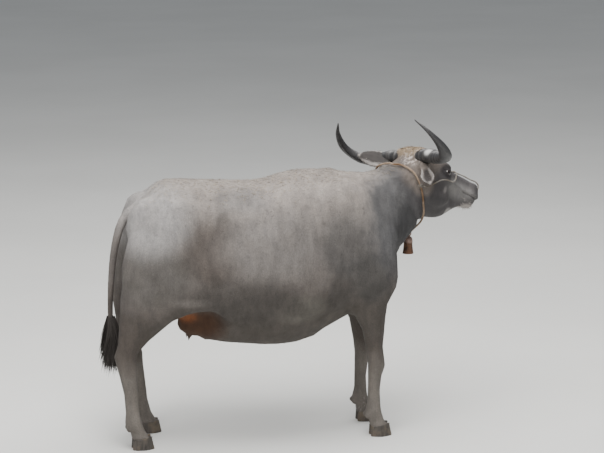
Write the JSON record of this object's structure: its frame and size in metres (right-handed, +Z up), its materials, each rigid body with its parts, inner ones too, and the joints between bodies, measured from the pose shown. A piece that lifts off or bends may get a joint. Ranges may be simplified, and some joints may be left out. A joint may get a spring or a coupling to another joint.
{
  "type": "water buffalo",
  "caption": "Standing life-size water buffalo cow with crescent horns, head turned left, wearing a nose rope, neck cord and small bell.",
  "frame": {"origin": "on the ground below the middle of the animal's box", "axes": "+X towards the chest and head, +Y to the animal's left, +Z up, hoof soles on z = 0"},
  "size_m": [1.8765, 0.6756, 1.5421],
  "materials": {
    "hide": "grey, nearly hairless hide with short sparse hair, matte",
    "udder": "rust-brown bare skin, matte",
    "horn": "black-grey keratin with cross rings, satin",
    "hoof": "dark keratin, matte",
    "eye": "dark brown, wet gloss",
    "switch_hair": "coarse dark hair in locks",
    "rope": "weathered pale twisted rope",
    "bell": "dark brown weathered metal"
  },
  "bodies": {
    "root": {"torso": "hide", "neck": "hide", "head": "hide", "ear_left": "hide", "eye_left": "eye", "horn_left": "horn", "ear_right": "hide", "eye_right": "eye", "horn_right": "horn", "foreleg_left": "hide", "hindleg_left": "hide", "hoof_fore_left_outer": "hoof", "hoof_fore_left_inner": "hoof", "hoof_hind_left_outer": "hoof", "hoof_hind_left_inner": "hoof", "foreleg_right": "hide", "hindleg_right": "hide", "hoof_fore_right_outer": "hoof", "hoof_fore_right_inner": "hoof", "hoof_hind_right_outer": "hoof", "hoof_hind_right_inner": "hoof", "tail": "hide", "tail_switch": "switch_hair", "udder": "udder", "neck_cord": "rope", "nose_rope": "rope", "bell": "bell"}
  },
  "joints": []
}
